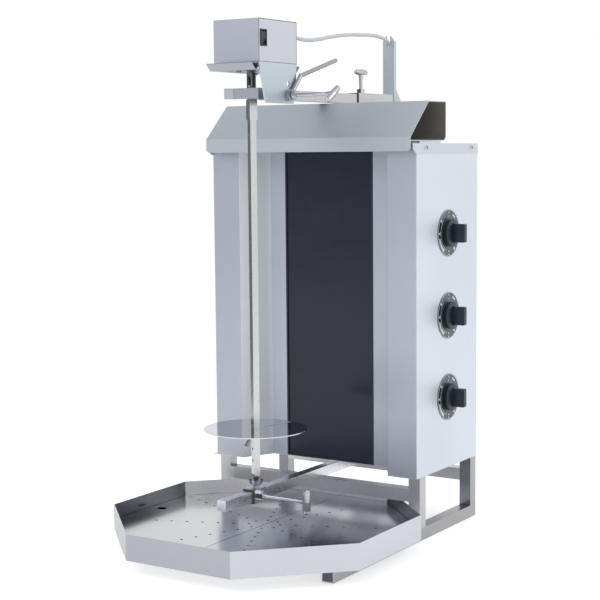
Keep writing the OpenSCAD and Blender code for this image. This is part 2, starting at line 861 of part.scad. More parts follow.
module spit_collar() {
  collar_w = spit_w + 2.6;
  collar_l = 30;
  color(pale_steel)
    at_spit(socket_z - 47) rotate(spit_turn)
      difference() {
        translate([-collar_w / 2, -collar_w / 2, 0]) cube([collar_w, collar_w, collar_l]);
        translate([-spit_w / 2 - 0.05, -spit_w / 2 - 0.05, -1]) cube([spit_w + 0.1, spit_w + 0.1, collar_l + 2]);
      }
}

module carving_disc() {
  hole_w = spit_w + 0.6;
  color(pale_steel) at_spit(disc_z - disc_t)
    difference() {
      union() {
        cylinder(d = disc_d, h = disc_t, $fn = 96);
        translate([0, 0, -disc_hub_h]) cylinder(d = disc_hub_d, h = disc_hub_h + eps);
        rotate(spit_turn + 90) box([-disc_hub_d / 2 - 1, -4, -disc_hub_h - 11], [-hole_w / 2, 4, -1]);
      }
      rotate(spit_turn) translate([-hole_w / 2, -hole_w / 2, -20]) cube([hole_w, hole_w, 30]);
      rotate(disc_slot_turn) translate([14, -1.2, -1]) cube([disc_d / 2 - 7 - 14, 2.4, disc_t + 2]);
      at_disc_screw() translate([0, 0, -20]) cylinder(d = disc_screw_d + 0.1, h = 40);
    }
}

// Set screw through the hub's lug, pointing down and away from the spit
module at_disc_screw() {
  rotate(spit_turn + 90) translate([-spit_w / 2 - 2.2, 0, -disc_hub_h - 6]) rotate([0, -150, 0]) children();
}

module disc_screw() {
  color(dark_steel) at_spit(disc_z - disc_t)
    difference() {
      at_disc_screw() {
        translate([0, 0, -4]) cylinder(d = disc_screw_d, h = 18);
        translate([0, 0, 8]) cylinder(d1 = disc_screw_d + 1, d2 = disc_screw_d + 3, h = 10);
      }
      rotate(spit_turn + 90) box([-spit_w / 2 - 0.05, -10, -40], [30, 10, 20]);
      box([-30, -30, -0.3], [30, 30, 20]);
    }
}

// Motor head

module side_plate_outline() {
  front = head_front + 1;
  polygon(concat(
    [[front, head_z], [front, head_z - 5]],
    arc([front + 19, plate_z + 4], 4, 190, 270, 4),
    arc([pivot_y + 11, plate_z + 4], 4, 270, 360, 4),
    [[head_rear - 4, plate_z + 22], [head_rear - 1, head_z]]
  ));
}

module head_bracket() {
  window_d = 8;
  color([0.74, 0.8, 0.85]) at_body()
    difference() {
      union() {
        translate([head_x - plate_t / 2, 0, 0]) extrude_x(plate_t) side_plate_outline();
        box([-head_x + plate_t, head_front + 4, head_z - plate_t], [head_x - plate_t + eps, head_rear - 4, head_z]);
        translate([arm_w / 2 + seat, pivot_y, pivot_z]) rotate([0, 90, 0])
          cylinder(d = cross_tube_d, h = head_x - plate_t / 2 - arm_w / 2 - seat);
      }
      translate([0, pivot_y, pivot_z]) rotate([0, 90, 0])
        cylinder(d = shank_d + 2 * run_gap, h = head_w);
      translate([0, pivot_y - 2, pivot_z + 17]) rotate([0, 90, 0])
        cylinder(d = window_d, h = head_w);
      translate([0, -spit_y, head_z - plate_t - 1]) cylinder(d = 12, h = plate_t + 2);
      for (x = [-shield_screw_x, 0, shield_screw_x])
        translate([x, shield_screw_y(x), head_z - plate_t - 1]) cylinder(d = shield_screw_d + 0.4, h = plate_t + 2);
    }
}

module heat_shield() {
  front = head_front - 10;
  rear = head_rear + 3;
  inner_x = head_x - plate_t - 0.2;
  t = 1.2;
  color(steel) at_body()
    difference() {
      union() {
        extrude_x(2 * inner_x) polygon(bent_sheet([[front, shield_z], [rear, shield_z], [rear + 8, shield_z + 9]], t));
        translate([0, 0, 0]) extrude_x(head_w)
          polygon(bent_sheet([[front - shield_lip, shield_z + shield_lip], [front, shield_z], [head_front - 1, shield_z]], t));
      }
      translate([0, -spit_y, shield_z - 1]) cylinder(d = 12, h = 4);
      for (x = [-shield_screw_x, 0, shield_screw_x])
        translate([x, shield_screw_y(x), shield_z - 1]) cylinder(d = shield_screw_d + 0.4, h = 4);
    }
}

// Screws that hold the heat shield below the bracket's top, each with a spacer
module shield_screws() {
  color(dark_steel) at_body()
    for (x = [-shield_screw_x, 0, shield_screw_x])
      translate([x, shield_screw_y(x), 0]) {
        translate([0, 0, shield_z - screw_head_h]) cylinder(d = 7, h = screw_head_h);
        translate([0, 0, shield_z - eps]) cylinder(d = shield_screw_d, h = head_z - shield_z);
        translate([0, 0, shield_z + 1.2]) cylinder(d = 7, h = head_z - plate_t - shield_z - 1.2);
      }
}

module motor_housing() {
  rocker_y = head_front + 12.5;
  rocker_z = head_z + 35;
  color([0.82, 0.85, 0.9]) at_body()
    difference() {
      box([-head_x, head_front, head_z], [head_x, head_rear, head_z + head_h]);
      box([-head_x + head_t, head_front + head_t, head_z + head_t],
          [head_x - head_t, head_rear - head_t, head_z + head_h - head_t]);
      box([head_x - 5, rocker_y - rocker_w / 2, rocker_z - rocker_h / 2],
          [head_x + 1, rocker_y + rocker_w / 2, rocker_z + rocker_h / 2]);
      translate([0, -spit_y, head_z - 1]) cylinder(d = 12, h = 4);
      translate([0, head_rear + 1, cable_exit_z]) rotate([90, 0, 0]) cylinder(d = cable_d + 3, h = 5);
    }
}

module rocker_bezel() {
  y = head_front + 12.5;
  z = head_z + 35;
  w = rocker_w / 2 - 0.2;
  h = rocker_h / 2 - 0.2;
  color(black) at_body()
    difference() {
      union() {
        box([head_x - 14, y - w, z - h], [head_x + 0.5, y + w, z + h]);
        box([head_x, y - w - 1.2, z - h - 1.2], [head_x + 1.2, y + w + 1.2, z + h + 1.2]);
      }
      box([head_x - 12, y - w + 1, z - h + 1], [head_x + 3, y + w - 1, z + h - 1]);
    }
}

module rocker_switch() {
  y = head_front + 12.5;
  z = head_z + 35;
  w = rocker_w / 2 - 1.5;
  h = rocker_h / 2 - 2.4;
  color(black) at_body()
    translate([head_x - 3, y, z]) rotate([0, 8, 0])
      translate([0, w, 0]) rotate([90, 0, 0]) linear_extrude(2 * w) polygon(concat(
        [[-3, -h + 3], [2.5, -h]], [[3.6, 0]], [[2.5, h], [-3, h - 3]]
      ));
}

module gear_motor() {
  z = head_z + head_t + 0.2;
  color(dark_steel) at_body() {
    difference() {
      box([-26, -spit_y - 24, z], [26, -spit_y + 30, z + 24]);
      translate([0, -spit_y, z - 1]) cylinder(d = 8.2, h = 16);
    }
    translate([0, -spit_y + 8, z + 24 - eps]) cylinder(d = 42, h = 28);
  }
}

module drive_socket() {
  slot_w = 6.4;
  slot_top = shield_z - 10;
  boss_z = shield_z - 1;
  color(pale_steel) at_spit(0) {
    difference() {
      translate([0, 0, socket_z]) cylinder(d = socket_d, h = boss_z - socket_z);
      translate([0, 0, socket_z - 1]) cylinder(d = socket_bore, h = boss_z - socket_z - 4);
      box([-slot_w / 2, -socket_d, socket_z - 1], [slot_w / 2, socket_d, slot_top]);
      translate([0, socket_d, slot_top]) rotate([90, 0, 0]) cylinder(d = slot_w, h = 2 * socket_d);
    }
    translate([0, 0, boss_z - eps]) cylinder(d = 8, h = head_z + head_t + 15 - boss_z);
  }
}

module lift_lever() {
  x = head_x + 0.5 + lever_d / 2;
  bend = [pivot_y + lever_bend_back, pivot_z + lever_bend_rise];
  tip = [pivot_y + lever_tip_back, pivot_z + lever_tip_rise];
  color(pale_steel) at_body()
    difference() {
      union() {
        translate([head_x + 0.3, pivot_y, pivot_z]) rotate([0, 90, 0]) cylinder(d = lever_eye_d, h = lever_d);
        rod_between([x, pivot_y, pivot_z] , [x, bend[0], bend[1]]);
        rod_between([x, bend[0], bend[1]], [x, tip[0], tip[1]]);
        translate([x, bend[0], bend[1]]) sphere(d = lever_d * 1.05);
      }
      translate([head_x - 1, pivot_y, pivot_z]) rotate([0, 90, 0])
        cylinder(d = shank_d + 2 * run_gap, h = lever_d + 4);
    }
}

// Round rod from a to b in a plane of constant x
module rod_between(a, b) {
  d = b - a;
  translate(a) rotate([atan2(-d[1], d[2]), 0, 0]) cylinder(d = lever_d, h = norm(d));
}

module cable_gland() {
  color(black) at_body()
    difference() {
      union() {
        translate([0, head_rear + 6, cable_exit_z]) rotate([90, 0, 0]) cylinder(d = 12, h = 6);
        translate([0, head_rear + 8, cable_exit_z]) rotate([90, 0, 0]) cylinder(d = cable_d + 2.8, h = 14);
      }
      translate([0, head_rear + 9, cable_exit_z]) rotate([90, 0, 0]) cylinder(d = cable_d + 0.2, h = 16);
    }
}

// Cable swept along its route in the plane x = 0

function tangent(p, i) =
  let (a = p[max(i - 1, 0)], b = p[min(i + 1, len(p) - 1)]) (b - a) / norm(b - a);

function ring(p, i, r, sides) =
  let (t = tangent(p, i))
  [for (k = [0:sides - 1])
    let (c = r * cos(360 * k / sides), s = r * sin(360 * k / sides))
    [s, p[i][0] - c * t[1], p[i][1] + c * t[0]]];

module swept_cable(p) {
  sides = 8;
  n = len(p);
  points = [for (i = [0:n - 1]) each ring(p, i, cable_d / 2, sides)];
  walls = [for (i = [0:n - 2]) for (k = [0:sides - 1]) let (m = (k + 1) % sides)
    each [[i * sides + k, (i + 1) * sides + m, i * sides + m], [i * sides + k, (i + 1) * sides + k, (i + 1) * sides + m]]];
  ends = [[for (k = [0:sides - 1]) k], [for (k = [sides - 1:-1:0]) (n - 1) * sides + k]];
  polyhedron(points = points, faces = concat(walls, ends));
}

module motor_cable() { color([0.7, 0.72, 0.74]) at_body() swept_cable(cable_route); }

// Grease tray

module tray_pan() {
  color(pale_steel) at_body() translate([0, -tray_y, tray_z])
    difference() {
      polygon_plate(8, tray_w / 2, tray_h);
      translate([0, 0, tray_t]) polygon_plate(8, tray_in, tray_h);
    }
}

// Drain holes on eight rays that point at the tray's corners
module drains() {
  for (turn = [0:45:315]) {
    count = (turn + 22.5) % 180 > 60 && (turn + 22.5) % 180 < 120 ? front_drains : side_drains;
    rotate(turn + 22.5)
      for (i = [1:count])
        translate([i * drain_pitch, 0, -1]) cylinder(d = drain_d, h = tray_t + 2, $fn = 16);
  }
}

module insert(side) {
  color(pale_steel) at_body() translate([0, -tray_y, insert_z])
    difference() {
      intersection() {
        polygon_plate(8, insert_r, insert_h);
        translate([side > 0 ? seam_gap / 2 : -tray_w, -tray_w, -1]) cube([tray_w - seam_gap / 2, 2 * tray_w, insert_h + 2]);
      }
      intersection() {
        translate([0, 0, -1]) polygon_plate(8, insert_r - tray_t, insert_h - tray_t + 1);
        translate([side > 0 ? seam_gap / 2 + tray_t : -tray_w, -tray_w, -2])
          cube([tray_w - seam_gap / 2 - tray_t, 2 * tray_w, insert_h + 4]);
      }
      translate([0, 0, insert_h - tray_t]) drains();
      translate([side * (tray_in - finger_inset), 0, -1]) cylinder(d = finger_d, h = insert_h + 2);
    }
}

module insert_left() { insert(-1); }
module insert_right() { insert(1); }

leg_front_left();
leg_front_right();
leg_rear_left();
leg_rear_right();
rail_left();
rail_right();
front_crossbar();
rear_crossbar();
tube_plugs();
left_side_panel();
right_side_panel();
back_panel();
top_cover();
bottom_panel();
left_wing();
right_wing();
glass_panel();
glass_frame();
cover_screws();
hood();
burner_rack();
burner_lower();
burner_middle();
burner_upper();
gas_manifold();
gas_valves();
knob_bezels();
knob_lower();
knob_middle();
knob_upper();
rear_housing();
rear_post();
lower_arm();
upper_sleeve();
arm_tube();
spit_hook();
sleeve_clamp_screw();
slider_clamp_screw();
head_clamp_screw();
head_bracket();
heat_shield();
shield_screws();
motor_housing();
gear_motor();
rocker_switch();
rocker_bezel();
lift_lever();
drive_socket();
cable_gland();
motor_cable();
slider_block();
bearing_cup();
spit_bar();
spit_collar();
carving_disc();
disc_screw();
tray_pan();
insert_left();
insert_right();
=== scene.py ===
import bpy
import math
from mathutils import Matrix, Vector


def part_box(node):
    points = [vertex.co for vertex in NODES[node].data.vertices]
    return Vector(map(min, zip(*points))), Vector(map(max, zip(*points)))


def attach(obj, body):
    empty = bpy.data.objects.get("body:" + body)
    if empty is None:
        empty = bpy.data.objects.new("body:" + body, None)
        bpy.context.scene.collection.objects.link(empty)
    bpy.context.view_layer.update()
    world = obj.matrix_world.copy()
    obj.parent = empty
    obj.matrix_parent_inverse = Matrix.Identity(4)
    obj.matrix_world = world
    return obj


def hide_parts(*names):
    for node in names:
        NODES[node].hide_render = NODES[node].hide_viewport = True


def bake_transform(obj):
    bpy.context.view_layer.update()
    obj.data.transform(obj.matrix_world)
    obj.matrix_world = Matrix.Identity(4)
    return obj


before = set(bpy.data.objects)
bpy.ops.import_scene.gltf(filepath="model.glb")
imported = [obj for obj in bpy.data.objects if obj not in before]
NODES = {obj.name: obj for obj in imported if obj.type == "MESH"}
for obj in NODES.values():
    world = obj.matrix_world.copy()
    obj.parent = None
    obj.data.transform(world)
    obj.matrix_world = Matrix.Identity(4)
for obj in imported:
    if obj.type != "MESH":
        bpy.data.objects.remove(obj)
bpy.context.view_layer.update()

ROOT = "stand_and_body"
# The wings' front face is y = 0 in the sizes below, which are in millimetres
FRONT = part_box("left_wing")[0][1]


def at(x, y, z):
    return Vector((x / 1000, FRONT + y / 1000, z / 1000))


# Materials

def new_material(name):
    mat = bpy.data.materials.new(name)
    mat.use_nodes = True
    tree = mat.node_tree
    return mat, tree, tree.nodes["Principled BSDF"]


def socket_set(bsdf, name, value):
    if name in bsdf.inputs:
        bsdf.inputs[name].default_value = value


def noise(tree, coord, scale, detail=3.0, stretch=(1, 1, 1)):
    mapping = tree.nodes.new("ShaderNodeMapping")
    mapping.inputs["Scale"].default_value = stretch
    tree.links.new(coord, mapping.inputs["Vector"])
    tex = tree.nodes.new("ShaderNodeTexNoise")
    tex.inputs["Scale"].default_value = scale
    tex.inputs["Detail"].default_value = detail
    tree.links.new(mapping.outputs["Vector"], tex.inputs["Vector"])
    return tex.outputs["Fac"]


def ranged(tree, value, low, high, lo_in=0.3, hi_in=0.7):
    node = tree.nodes.new("ShaderNodeMapRange")
    node.inputs["From Min"].default_value = lo_in
    node.inputs["From Max"].default_value = hi_in
    node.inputs["To Min"].default_value = low
    node.inputs["To Max"].default_value = high
    tree.links.new(value, node.inputs["Value"])
    return node.outputs["Result"]


def mixed(tree, fac, a, b):
    node = tree.nodes.new("ShaderNodeMix")
    node.data_type = "RGBA"
    node.inputs[6].default_value = (*a, 1)
    node.inputs[7].default_value = (*b, 1)
    tree.links.new(fac, node.inputs[0])
    return node.outputs[2]


def metal(name, colour, rough, grain=(1, 1, 1), vary=0.06, rough_vary=0.06, bump=0.02, cloud=3.0):
    """Steel with a fine grain stretched along one axis and broad soft clouds."""
    mat, tree, bsdf = new_material(name)
    coord = tree.nodes.new("ShaderNodeTexCoord").outputs["Object"]
    fine = noise(tree, coord, 900.0, 4.0, grain)
    broad = noise(tree, coord, cloud, 2.0)
    light = tuple(min(1.0, c * (1 + vary)) for c in colour)
    dark = tuple(c * (1 - vary) for c in colour)
    both = tree.nodes.new("ShaderNodeMath")
    both.operation = "MULTIPLY_ADD"
    both.inputs[1].default_value = 0.35
    tree.links.new(fine, both.inputs[0])
    scaled = ranged(tree, broad, 0.0, 0.65)
    tree.links.new(scaled, both.inputs[2])
    tree.links.new(mixed(tree, both.outputs[0], dark, light), bsdf.inputs["Base Color"])
    tree.links.new(ranged(tree, fine, rough - rough_vary, rough + rough_vary), bsdf.inputs["Roughness"])
    bsdf.inputs["Metallic"].default_value = 1.0
    if bump:
        node = tree.nodes.new("ShaderNodeBump")
        node.inputs["Strength"].default_value = bump
        node.inputs["Distance"].default_value = 0.0004
        tree.links.new(fine, node.inputs["Height"])
        tree.links.new(node.outputs["Normal"], bsdf.inputs["Normal"])
    return mat


def plain(name, colour, rough, vary=0.08, scale=60.0, bump=0.0, metallic=0.0):
    mat, tree, bsdf = new_material(name)
    coord = tree.nodes.new("ShaderNodeTexCoord").outputs["Object"]
    fac = noise(tree, coord, scale, 4.0)
    light = tuple(min(1.0, c * (1 + vary)) for c in colour)
    dark = tuple(c * (1 - vary) for c in colour)
    tree.links.new(mixed(tree, ranged(tree, fac, 0.0, 1.0), dark, light), bsdf.inputs["Base Color"])
    tree.links.new(ranged(tree, fac, rough * 0.85, min(1.0, rough * 1.15)), bsdf.inputs["Roughness"])
    bsdf.inputs["Metallic"].default_value = metallic
    if bump:
        node = tree.nodes.new("ShaderNodeBump")
        node.inputs["Strength"].default_value = bump
        node.inputs["Distance"].default_value = 0.0003
        tree.links.new(noise(tree, coord, 1500.0, 2.0), node.inputs["Height"])
        tree.links.new(node.outputs["Normal"], bsdf.inputs["Normal"])
    return mat


STEEL = (0.60, 0.63, 0.69)
UPRIGHT = (9, 9, 0.12)
ACROSS = (0.12, 9, 9)
ALONG = (9, 0.12, 9)
M = {
    "sheet": metal("brushed_sheet", STEEL, 0.34, UPRIGHT),
    # Painted light and shade: the side panels get a paler copy and the wings a darker copy of the sheet steel, for
    # the light on their faces
    "panel": metal("side_panel_sheet_painted_light", (0.64, 0.685, 0.745), 0.50, UPRIGHT),
    "wing": metal("wing_sheet_painted_shade", (0.49, 0.52, 0.58), 0.42, UPRIGHT),
    "splay": metal("wing_splay", (0.92, 0.96, 1.0), 0.40, UPRIGHT),
    "motor": metal("motor_sheet", (0.54, 0.56, 0.61), 0.36, ACROSS),
    "shield": metal("shield_sheet", (0.40, 0.41, 0.45), 0.34, ACROSS),
    "hood": metal("hood_sheet", (0.57, 0.61, 0.64), 0.68, ACROSS),
    "sheet_across": metal("brushed_sheet_across", STEEL, 0.36, ACROSS),
    "bracket": metal("bracket_sheet", (0.50, 0.56, 0.61), 0.36, UPRIGHT),
    # Painted shade: the hook plate is a darker copy of the sheet steel
    "hook": metal("hook_plate_painted_shade", (0.48, 0.50, 0.54), 0.34, ACROSS),
    "tube_x": metal("ground_tube_x", (0.53, 0.53, 0.53), 0.32, ACROSS, vary=0.12, bump=0.05),
    "tube_y": metal("ground_tube_y", (0.38, 0.38, 0.39), 0.32, ALONG, vary=0.12, bump=0.05),
    "tube_z": metal("ground_tube_z", (0.51, 0.51, 0.52), 0.32, UPRIGHT, vary=0.12, bump=0.05),
    # Painted shade: the rear legs get a darker copy of the tube steel
    "tube_back": metal("rear_tube_painted_shade", (0.36, 0.37, 0.39), 0.32, UPRIGHT, vary=0.12, bump=0.05),
    "lower_arm": metal("lower_arm_steel", (0.80, 0.81, 0.85), 0.26, ALONG, vary=0.08),
    "arm": metal("arm_steel", (0.56, 0.57, 0.60), 0.26, ALONG, vary=0.08),
    "mirror": metal("mirror_sheet", (0.58, 0.60, 0.64), 0.08, UPRIGHT, vary=0.02, rough_vary=0.03, bump=0.0),
    "tray": metal("tray_sheet", (0.56, 0.57, 0.60), 0.18, UPRIGHT, vary=0.04, rough_vary=0.05, bump=0.01),
    # Painted reflections and shade on the tray: lighter and darker copies of the tray steel and a near-black floor
    "tray_light": metal("tray_inner_painted_light", (0.70, 0.70, 0.71), 0.22, UPRIGHT, vary=0.06),
    "tray_outer": metal("tray_outer_sheet", (0.56, 0.57, 0.62), 0.30, ACROSS, vary=0.03),
    "tray_outer_left": metal("tray_outer_painted_shade", (0.41, 0.42, 0.46), 0.30, ACROSS, vary=0.03),
    "tray_dark": metal("tray_shaded_sheet", (0.22, 0.23, 0.25), 0.24, UPRIGHT, vary=0.15),
    "tray_floor": metal("tray_floor_shade", (0.04, 0.04, 0.045), 0.5, UPRIGHT, vary=0.15),
    "insert": metal("insert_sheet", (0.56, 0.575, 0.61), 0.17, ALONG, vary=0.06, rough_vary=0.06, bump=0.02),
    "spit": metal("spit_steel", (0.60, 0.61, 0.63), 0.26, UPRIGHT, vary=0.10),
    "collar": metal("collar_steel", (0.60, 0.62, 0.65), 0.24, UPRIGHT, vary=0.06),
    "socket": metal("socket_steel", (0.17, 0.17, 0.18), 0.30, UPRIGHT, vary=0.10),
    "turned": metal("turned_steel", (0.52, 0.52, 0.54), 0.24, (9, 9, 9), vary=0.06),
    "lever": metal("lever_rod", (0.36, 0.36, 0.38), 0.26, (9, 9, 9), vary=0.06),
    "dark_screw": metal("dark_screw", (0.30, 0.31, 0.34), 0.35, (9, 9, 9), vary=0.10),
    "plug": plain("tube_plug", (0.12, 0.14, 0.19), 0.5, bump=0.1),
    "seam": plain("seam_shadow", (0.06, 0.065, 0.08), 0.6),
    "duct": metal("hood_inside", (0.72, 0.69, 0.66), 0.40, ACROSS, vary=0.15),
    # Painted highlight: near-white steel for a strip that stands for a highlight
    "edge": metal("painted_highlight_edge", (0.90, 0.92, 0.94), 0.30, (9, 9, 9), vary=0.02),
    "cast": plain("motor_casting", (0.12, 0.125, 0.135), 0.6, bump=0.2),
    "black": plain("black_plastic", (0.012, 0.014, 0.018), 0.32, bump=0.05),
    "slate": plain("knob_plastic", (0.013, 0.021, 0.033), 0.40, bump=0.08),
    "frame": plain("black_paint", (0.010, 0.012, 0.018), 0.35),
    "dial": plain("dial_plate", (0.10, 0.13, 0.16), 0.38, metallic=0.5),
    "print_black": plain("dial_black", (0.008, 0.010, 0.014), 0.35),
    "print_white": plain("dial_white", (0.80, 0.83, 0.86), 0.5, vary=0.03),
    "brass": metal("valve_brass", (0.70, 0.55, 0.28), 0.35, (9, 9, 9)),
    "pipe": metal("zinc_pipe", (0.50, 0.52, 0.55), 0.40, UPRIGHT),
    "ceramic": plain("burner_ceramic", (0.62, 0.50, 0.36), 0.85, vary=0.15, bump=0.3),
    "cable": plain("cable_sheath", (0.74, 0.78, 0.81), 0.55, vary=0.06, scale=200.0),
}


def glass_material():
    """Dark heat-proof glass: nearly black, it shows the room in a soft gloss."""
    mat, tree, bsdf = new_material("dark_glass")
    coord = tree.nodes.new("ShaderNodeTexCoord").outputs["Object"]
    fac = noise(tree, coord, 18.0, 3.0, (1, 1, 2))
    tree.links.new(mixed(tree, ranged(tree, fac, 0.0, 1.0), (0.027, 0.032, 0.049), (0.031, 0.036, 0.054)),
                   bsdf.inputs["Base Color"])
    tree.links.new(ranged(tree, fac, 0.10, 0.16), bsdf.inputs["Roughness"])
    socket_set(bsdf, "Specular IOR Level", 0.22)
    return mat


M["glass"] = glass_material()

LOOKS = {
    "sheet": ["back_panel", "rear_housing", "burner_rack"],
    "panel": ["left_side_panel", "right_side_panel"],
    "wing": ["left_wing", "right_wing"],
    "motor": ["motor_housing"],
    "shield": ["heat_shield"],
    "hood": ["hood", "rear_post"],
    "sheet_across": ["top_cover", "bottom_panel"],
    "bracket": ["head_bracket"],
    "hook": ["spit_hook"],
    "tube_x": ["front_crossbar", "rear_crossbar"],
    "tube_y": ["rail_left", "rail_right"],
    "tube_z": ["leg_front_left", "leg_front_right"],
    "tube_back": ["leg_rear_left", "leg_rear_right"],
    "arm": ["arm_tube", "upper_sleeve"],
    "lower_arm": ["lower_arm", "slider_block"],
    "mirror": ["carving_disc"],
    "tray": ["tray_pan"],
    "insert": ["insert_left", "insert_right"],
    "spit": ["spit_bar"],
    "collar": ["spit_collar"],
    "socket": ["drive_socket"],
    "lever": ["lift_lever", "bearing_cup"],
    "turned": ["sleeve_clamp_screw", "slider_clamp_screw", "head_clamp_screw", "cover_screws"],
    "dark_screw": ["disc_screw", "shield_screws"],
    "cast": ["gear_motor"],
    "black": ["rocker_bezel", "cable_gland"],
    "plug": ["tube_plugs"],
    "slate": ["knob_lower", "knob_middle", "knob_upper", "rocker_switch"],
    "frame": ["glass_frame"],
    "dial": ["knob_bezels"],
    "brass": ["gas_valves"],
    "pipe": ["gas_manifold"],
    "ceramic": ["burner_lower", "burner_middle", "burner_upper"],
    "glass": ["glass_panel"],
    "cable": ["motor_cable"],
}
for look, names in LOOKS.items():
    for name in names:
        mesh_data = NODES[name].data
        mesh_data.materials.clear()
        mesh_data.materials.append(M[look])


def face_look(name, look, test):
    """Give another material to the faces whose normal and centre pass the test (body millimetres)."""
    obj = NODES[name]
    index = len(obj.data.materials)
    obj.data.materials.append(M[look])
    turn = obj.matrix_world.to_3x3()
    for poly in obj.data.polygons:
        n = (turn @ poly.normal).normalized()
        c = obj.matrix_world @ poly.center
        if test(n, Vector((c.x * 1000, (c.y - FRONT) * 1000, c.z * 1000))):
            poly.material_index = index


# Distance of the spit in front of the wings, reach of the inserts' holes and level of the pan's floor
SPIT_Y = 165
HOLES_R = 190
PAN_FLOOR_Z = 22
CUP_INSIDE_R = 10.4
CUP_INSIDE_Z = 104
# Painted light on the left splay, for the light the recess throws on it; painted reflections and shade on the tray's
# walls, each wall a lighter or darker copy of the steel for the part of the room it shows
TRAY_MID = Vector([(low + high) / 2 for low, high in zip(*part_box("tray_pan"))]) * 1000
TRAY_MID.y -= FRONT * 1000
# Painted light: the left splay's faces get a paler copy of the wing steel
face_look("left_wing", "splay", lambda n, c: n.x > 0.3 and n.y < -0.2)


def tray_wall(outer, low, high):
    """Test for the tray's walls, outer or inner, whose normal points between two angles from the front."""
    def test(n, c):
        if abs(n.z) > 0.3:
            return False
        away = (c.x - TRAY_MID.x) * n.x + (c.y - TRAY_MID.y) * n.y > 0
        angle = math.degrees(math.atan2(n.x, -n.y))
        return away == outer and low < angle < high
    return test


# Painted reflections and shade: the outer front and front-left walls get a darker copy, the inner faces of the
# back-right walls painted shade, those of the back and back-left walls a lighter copy, and the pan's floor under the
# inserts near-black painted shade
face_look("tray_pan", "tray_outer", tray_wall(True, -181, 181))
face_look("tray_pan", "tray_outer_left", tray_wall(True, -80, 20))
face_look("tray_pan", "tray_dark", tray_wall(False, -80, -20))
face_look("tray_pan", "tray_light", tray_wall(False, -20, 60))
face_look("tray_pan", "tray_floor", lambda n, c: n.z > 0.7 and c.z < PAN_FLOOR_Z)
# The drain holes, the seam and the mouths of sleeve and slider are in shadow
for name in ("insert_left", "insert_right"):
    face_look(name, "tray_floor", lambda n, c: abs(n.z) < 0.5 and (
        abs(c.x) < 1.0 or math.hypot(c.x - TRAY_MID.x, c.y - TRAY_MID.y) < HOLES_R))
face_look("upper_sleeve", "seam", lambda n, c: n.y < -0.9)
face_look("slider_block", "seam", lambda n, c: n.y < -0.9)
# Painted shade: the rear legs' front faces get the shaded tray steel
for name in ("leg_rear_left", "leg_rear_right"):
    face_look(name, "tray_dark", lambda n, c: n.y < -0.9)
# Painted shade: the up-facing faces inside the bearing cup get the dark socket steel
cup_mid = sum(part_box("bearing_cup")[i][0] for i in (0, 1)) * 500
face_look("bearing_cup", "socket", lambda n, c: n.z > 0.1 and math.hypot(
    c.x - cup_mid, c.y + SPIT_Y) < CUP_INSIDE_R and c.z > CUP_INSIDE_Z)
hood_low, hood_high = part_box("hood")
hood_y, hood_z = (hood_low[1] + hood_high[1] - 2 * FRONT) * 500, (hood_low[2] + hood_high[2]) * 500
face_look("hood", "duct", lambda n, c: abs(n.x) < 0.5 and (c.y - hood_y) * n.y + (c.z - hood_z) * n.z < 0)

# Edges of sheet metal, tubes and plastic catch the light on a small round
EDGE_ROUND = {
    0.45: ["left_wing", "right_wing", "top_cover", "hood", "motor_housing", "rear_housing", "head_bracket",
           "right_side_panel", "left_side_panel", "tray_pan", "insert_left", "insert_right", "spit_hook",
           "heat_shield", "rear_post", "carving_disc"],
    1.2: ["front_crossbar", "rear_crossbar", "rail_left", "rail_right", "leg_front_left", "leg_front_right",
          "leg_rear_left", "leg_rear_right", "lower_arm", "arm_tube", "upper_sleeve", "slider_block"],
    0.6: ["spit_bar", "spit_collar", "rocker_bezel", "rocker_switch", "glass_frame"],
    1.0: ["knob_lower", "knob_middle", "knob_upper"],
}
for width, names in EDGE_ROUND.items():
    for name in names:
        bevel = NODES[name].modifiers.new("edge_round", "BEVEL")
        bevel.width = width / 1000
        bevel.segments = 2
        bevel.limit_method = "ANGLE"
        bevel.angle_limit = math.radians(40)
        bevel.use_clamp_overlap = True


# Meshes

def make(name, verts, faces, mat, body, smooth=None):
    """Mesh object that rides on a body, shaded smooth up to an angle where one is given."""
    mesh_data = bpy.data.meshes.new(name)
    mesh_data.from_pydata([tuple(v) for v in verts], [], faces)
    mesh_data.materials.append(mat)
    mesh_data.validate()
    mesh_data.update()
    obj = bpy.data.objects.new(name, mesh_data)
    bpy.context.scene.collection.objects.link(obj)
    if smooth is not None:
        mesh_data.polygons.foreach_set("use_smooth", [True] * len(mesh_data.polygons))
        mesh_data.set_sharp_from_angle(angle=math.radians(smooth))
    if body:
        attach(obj, body)
    return obj


def frame_of(direction):
    d = Vector(direction).normalized()
    a = Vector((0, 0, 1)) if abs(d.z) < 0.9 else Vector((1, 0, 0))
    u = d.cross(a).normalized()
    return u, d.cross(u).normalized(), d


def turned(name, start, direction, profile, mat, body, sides=32, smooth=40):
    """Solid of revolution: profile is (distance along the axis, radius) in millimetres."""
    u, v, d = frame_of(direction)
    verts, faces = [], []
    for along, radius in profile:
        for k in range(sides):
            t = 2 * math.pi * k / sides
            verts.append(start + (d * along + (u * math.cos(t) + v * math.sin(t)) * radius) / 1000)
    for i in range(len(profile) - 1):
        for k in range(sides):
            m = (k + 1) % sides
            faces.append((i * sides + k, i * sides + m, (i + 1) * sides + m, (i + 1) * sides + k))
    faces.append(tuple(range(sides - 1, -1, -1)))
    faces.append(tuple((len(profile) - 1) * sides + k for k in range(sides)))
    return make(name, verts, faces, mat, body, smooth)


def block(name, low, high, mat, body):
    """Box between two corners in body millimetres."""
    x0, y0, z0 = low
    x1, y1, z1 = high
    verts = [at(x, y, z) for z in (z0, z1) for y in (y0, y1) for x in (x0, x1)]
    faces = [(0, 2, 3, 1), (4, 5, 7, 6), (0, 1, 5, 4), (2, 6, 7, 3), (0, 4, 6, 2), (1, 3, 7, 5)]
    return make(name, verts, faces, mat, body)


# Dials, printed

